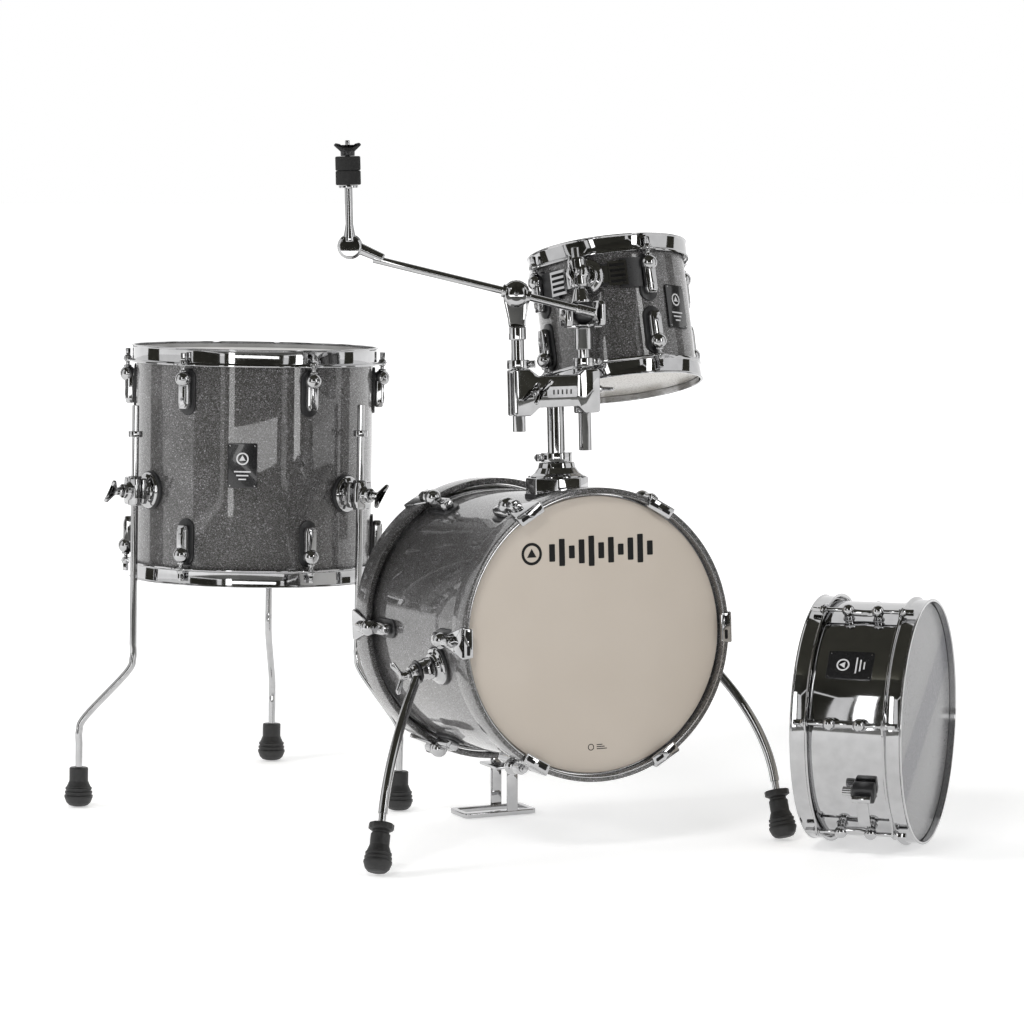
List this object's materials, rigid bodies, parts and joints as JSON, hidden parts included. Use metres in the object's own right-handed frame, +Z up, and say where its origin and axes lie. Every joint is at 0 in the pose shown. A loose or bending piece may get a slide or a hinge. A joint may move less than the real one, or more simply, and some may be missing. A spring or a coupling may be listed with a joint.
{
  "type": "drum kit",
  "caption": "Compact acoustic drum kit: bass drum with spurs and lift stand, tom and boom arm on a shared post, floor tom on legs, snare drum on its edge.",
  "frame": {"origin": "on the floor, under the middle of the kit's bounding box", "axes": "+X to the right as the audience sees the kit (its longest side), +Y back towards the drummer (its shortest side), +Z up"},
  "size_m": [1.1706, 0.8874, 0.8891],
  "materials": {
    "chrome": "polished chrome plate",
    "sparkle": "dark grey sparkle wrap, glossy",
    "cream": "cream film",
    "coated": "coated white film",
    "rubber": "matt black",
    "felt": "black felt",
    "plastic": "black moulded",
    "wire": "coiled steel wire"
  },
  "bodies": {
    "bass_drum": {"lift_stand": "chrome", "bass_shell": "sparkle", "bass_front_hoop": "sparkle", "bass_rear_hoop": "sparkle", "bass_front_head": "cream", "bass_rear_head": "coated", "post_bracket": "chrome", "spur_bracket_left": "chrome", "spur_bracket_right": "chrome"},
    "spur_left": {"spur_leg_left": "chrome", "spur_foot_left": "rubber"},
    "spur_wing_left": {"spur_wing_screw_left": "chrome"},
    "spur_right": {"spur_leg_right": "chrome", "spur_foot_right": "rubber"},
    "spur_wing_right": {"spur_wing_screw_right": "chrome"},
    "post": {"post_memory_lock": "chrome", "post_tube": "chrome", "holder_block": "chrome"},
    "holder_wing_left": {"holder_wing_screw_left": "chrome"},
    "holder_wing_right": {"holder_wing_screw_right": "chrome"},
    "cymbal_arm": {"cymbal_memory_lock": "chrome", "cymbal_tube_and_ratchet": "chrome"},
    "boom_clamp": {"boom_clamp_head": "chrome"},
    "boom": {"boom_rod": "chrome"},
    "cymbal_tilter": {"cymbal_tilter": "chrome", "cymbal_felts": "felt"},
    "cymbal_nut": {"cymbal_wing_nut": "plastic"},
    "tom_arm": {"tom_memory_lock": "chrome", "tom_arm_tube": "chrome"},
    "tom_ball": {"tom_ball_rod": "chrome"},
    "tom": {"tom_shell": "sparkle", "tom_batter_hoop": "chrome", "tom_bottom_hoop": "chrome", "tom_batter_head": "coated", "tom_bottom_head": "coated", "tom_mount_plate": "chrome"},
    "tom_wing": {"tom_mount_wing_screw": "chrome"},
    "floor_tom": {"floor_tom_shell": "sparkle", "floor_tom_batter_hoop": "chrome", "floor_tom_bottom_hoop": "chrome", "floor_tom_batter_head": "coated", "floor_tom_bottom_head": "coated"},
    "floor_tom_leg_left": {"floor_tom_leg_rod_left": "chrome", "floor_tom_foot_left": "rubber"},
    "floor_tom_leg_right": {"floor_tom_leg_rod_right": "chrome", "floor_tom_foot_right": "rubber"},
    "floor_tom_leg_rear": {"floor_tom_leg_rod_rear": "chrome", "floor_tom_foot_rear": "rubber"},
    "floor_tom_wing_left": {"floor_tom_wing_screw_left": "chrome"},
    "floor_tom_wing_right": {"floor_tom_wing_screw_right": "chrome"},
    "floor_tom_wing_rear": {"floor_tom_wing_screw_rear": "chrome"},
    "snare": {"snare_shell": "chrome", "snare_batter_hoop": "chrome", "snare_bottom_hoop": "chrome", "snare_batter_head": "coated", "snare_bottom_head": "coated", "strainer_body": "plastic"},
    "snare_wires": {"snare_wires": "wire"},
    "strainer_lever": {"strainer_lever": "chrome"},
    "strainer_knob": {"strainer_knob": "chrome"}
  },
  "joints": [
    {"name": "spur_left_fold", "type": "hinge", "parent": "bass_drum", "child": "spur_left", "pos_m": [-0.09888, -0.26501, 0.23016], "axis": [-0.8819, -0.4232, -0.2076], "range_deg": [-60, 10]},
    {"name": "spur_left_wing_screw", "type": "hinge", "parent": "spur_left", "child": "spur_wing_left", "pos_m": [-0.11859, -0.27447, 0.22552], "axis": [-0.8819, -0.4232, -0.2076], "range_deg": [-60, 60]},
    {"name": "spur_right_fold", "type": "hinge", "parent": "bass_drum", "child": "spur_right", "pos_m": [0.24345, -0.10538, 0.23016], "axis": [0.8911, 0.4035, -0.2076], "range_deg": [-10, 60]},
    {"name": "spur_right_wing_screw", "type": "hinge", "parent": "spur_right", "child": "spur_wing_right", "pos_m": [0.26337, -0.09636, 0.22552], "axis": [0.8911, 0.4035, -0.2076], "range_deg": [-60, 60]},
    {"name": "post_height", "type": "slide", "parent": "bass_drum", "child": "post", "axis": [-0.0221, 0.0474, 0.9986], "range_m": [0, 0.05]},
    {"name": "holder_left_wing_screw", "type": "hinge", "parent": "post", "child": "holder_wing_left", "pos_m": [0.04297, -0.2004, 0.57342], "axis": [0.422, -0.9051, 0.0523], "range_deg": [-60, 60]},
    {"name": "holder_right_wing_screw", "type": "hinge", "parent": "post", "child": "holder_wing_right", "pos_m": [0.11487, -0.14555, 0.57241], "axis": [0.9063, 0.4226, 0], "range_deg": [-45, 10]},
    {"name": "cymbal_arm_swivel", "type": "hinge", "parent": "post", "child": "cymbal_arm", "pos_m": [0.01784, -0.18912, 0.60137], "axis": [-0.0221, 0.0474, 0.9986], "range_deg": [-40, 3]},
    {"name": "boom_tilt", "type": "hinge", "parent": "cymbal_arm", "child": "boom_clamp", "pos_m": [0.01574, -0.18461, 0.69624], "axis": [0.0005, 0.9989, -0.0474], "range_deg": [-15, 10]},
    {"name": "boom_reach", "type": "slide", "parent": "boom_clamp", "child": "boom", "axis": [0.9714, -0.0118, -0.2371], "range_m": [-0.05, 0.005]},
    {"name": "cymbal_tilt", "type": "hinge", "parent": "boom", "child": "cymbal_tilter", "pos_m": [-0.19316, -0.18968, 0.75583], "axis": [0.0005, 0.9989, -0.0474], "range_deg": [-30, 30]},
    {"name": "cymbal_nut_spin", "type": "hinge", "parent": "cymbal_tilter", "child": "cymbal_nut", "pos_m": [-0.19566, -0.19082, 0.86898], "axis": [-0.0221, 0.0474, 0.9986], "range_deg": [0, 90]},
    {"name": "tom_arm_swivel", "type": "hinge", "parent": "post", "child": "tom_arm", "pos_m": [0.10122, -0.15024, 0.60137], "axis": [-0.0221, 0.0474, 0.9986], "range_deg": [-6, 12]},
    {"name": "tom_tilt", "type": "hinge", "parent": "tom_arm", "child": "tom_ball", "pos_m": [0.0997, -0.14697, 0.67027], "axis": [0.9403, -0.286, 0.1845], "range_deg": [-2, 8]},
    {"name": "tom_height", "type": "slide", "parent": "tom_ball", "child": "tom", "axis": [-0.1144, 0.2452, 0.9627], "range_m": [0, 0.02]},
    {"name": "tom_mount_wing_screw_turn", "type": "hinge", "parent": "tom", "child": "tom_wing", "pos_m": [0.09055, -0.14405, 0.72142], "axis": [-0.3205, -0.9263, 0.1979], "range_deg": [-60, 60]},
    {"name": "floor_tom_lift", "type": "slide", "parent": "bass_drum", "child": "floor_tom", "axis": [0, 0, 1], "range_m": [0, 0.3]},
    {"name": "floor_tom_leg_left_height", "type": "slide", "parent": "floor_tom", "child": "floor_tom_leg_left", "axis": [0.0175, 0.0384, 0.9991], "range_m": [-0.02, 0.05]},
    {"name": "floor_tom_left_wing_screw", "type": "hinge", "parent": "floor_tom", "child": "floor_tom_wing_left", "pos_m": [-0.50619, 0.06548, 0.42006], "axis": [-0.819, -0.5726, 0.0363], "range_deg": [-60, 60]},
    {"name": "floor_tom_leg_right_height", "type": "slide", "parent": "floor_tom", "child": "floor_tom_leg_right", "axis": [0.0175, 0.0384, 0.9991], "range_m": [-0.02, 0.05]},
    {"name": "floor_tom_right_wing_screw", "type": "hinge", "parent": "floor_tom", "child": "floor_tom_wing_right", "pos_m": [-0.17513, 0.05948, 0.41451], "axis": [0.7985, -0.6019, 0.0092], "range_deg": [-60, 60]},
    {"name": "floor_tom_leg_rear_height", "type": "slide", "parent": "floor_tom", "child": "floor_tom_leg_rear", "axis": [0.0175, 0.0384, 0.9991], "range_m": [-0.02, 0.05]},
    {"name": "floor_tom_rear_wing_screw", "type": "hinge", "parent": "floor_tom", "child": "floor_tom_wing_rear", "pos_m": [-0.32428, 0.38669, 0.40455], "axis": [0.0697, 0.9968, -0.0395], "range_deg": [-60, 60]},
    {"name": "snare_lift", "type": "slide", "parent": "bass_drum", "child": "snare", "axis": [0, 0, 1], "range_m": [0, 0.3]},
    {"name": "strainer_throw", "type": "hinge", "parent": "snare", "child": "strainer_lever", "pos_m": [0.44094, -0.36791, 0.08333], "axis": [0.9489, -0.3156, 0], "range_deg": [-70, 0]},
    {"name": "strainer_tension", "type": "hinge", "parent": "snare", "child": "strainer_knob", "pos_m": [0.43035, -0.35113, 0.08946], "axis": [0.9489, -0.3156, 0], "range_deg": [-90, 90]},
    {"name": "snare_wires_drop", "type": "slide", "parent": "snare", "child": "snare_wires", "axis": [-0.9489, 0.3156, 0], "range_m": [0, 0.003]}
  ],
  "couplings": [
    {"joint": "snare_wires_drop", "follows": "strainer_throw", "m_per_rad": -0.002456}
  ]
}
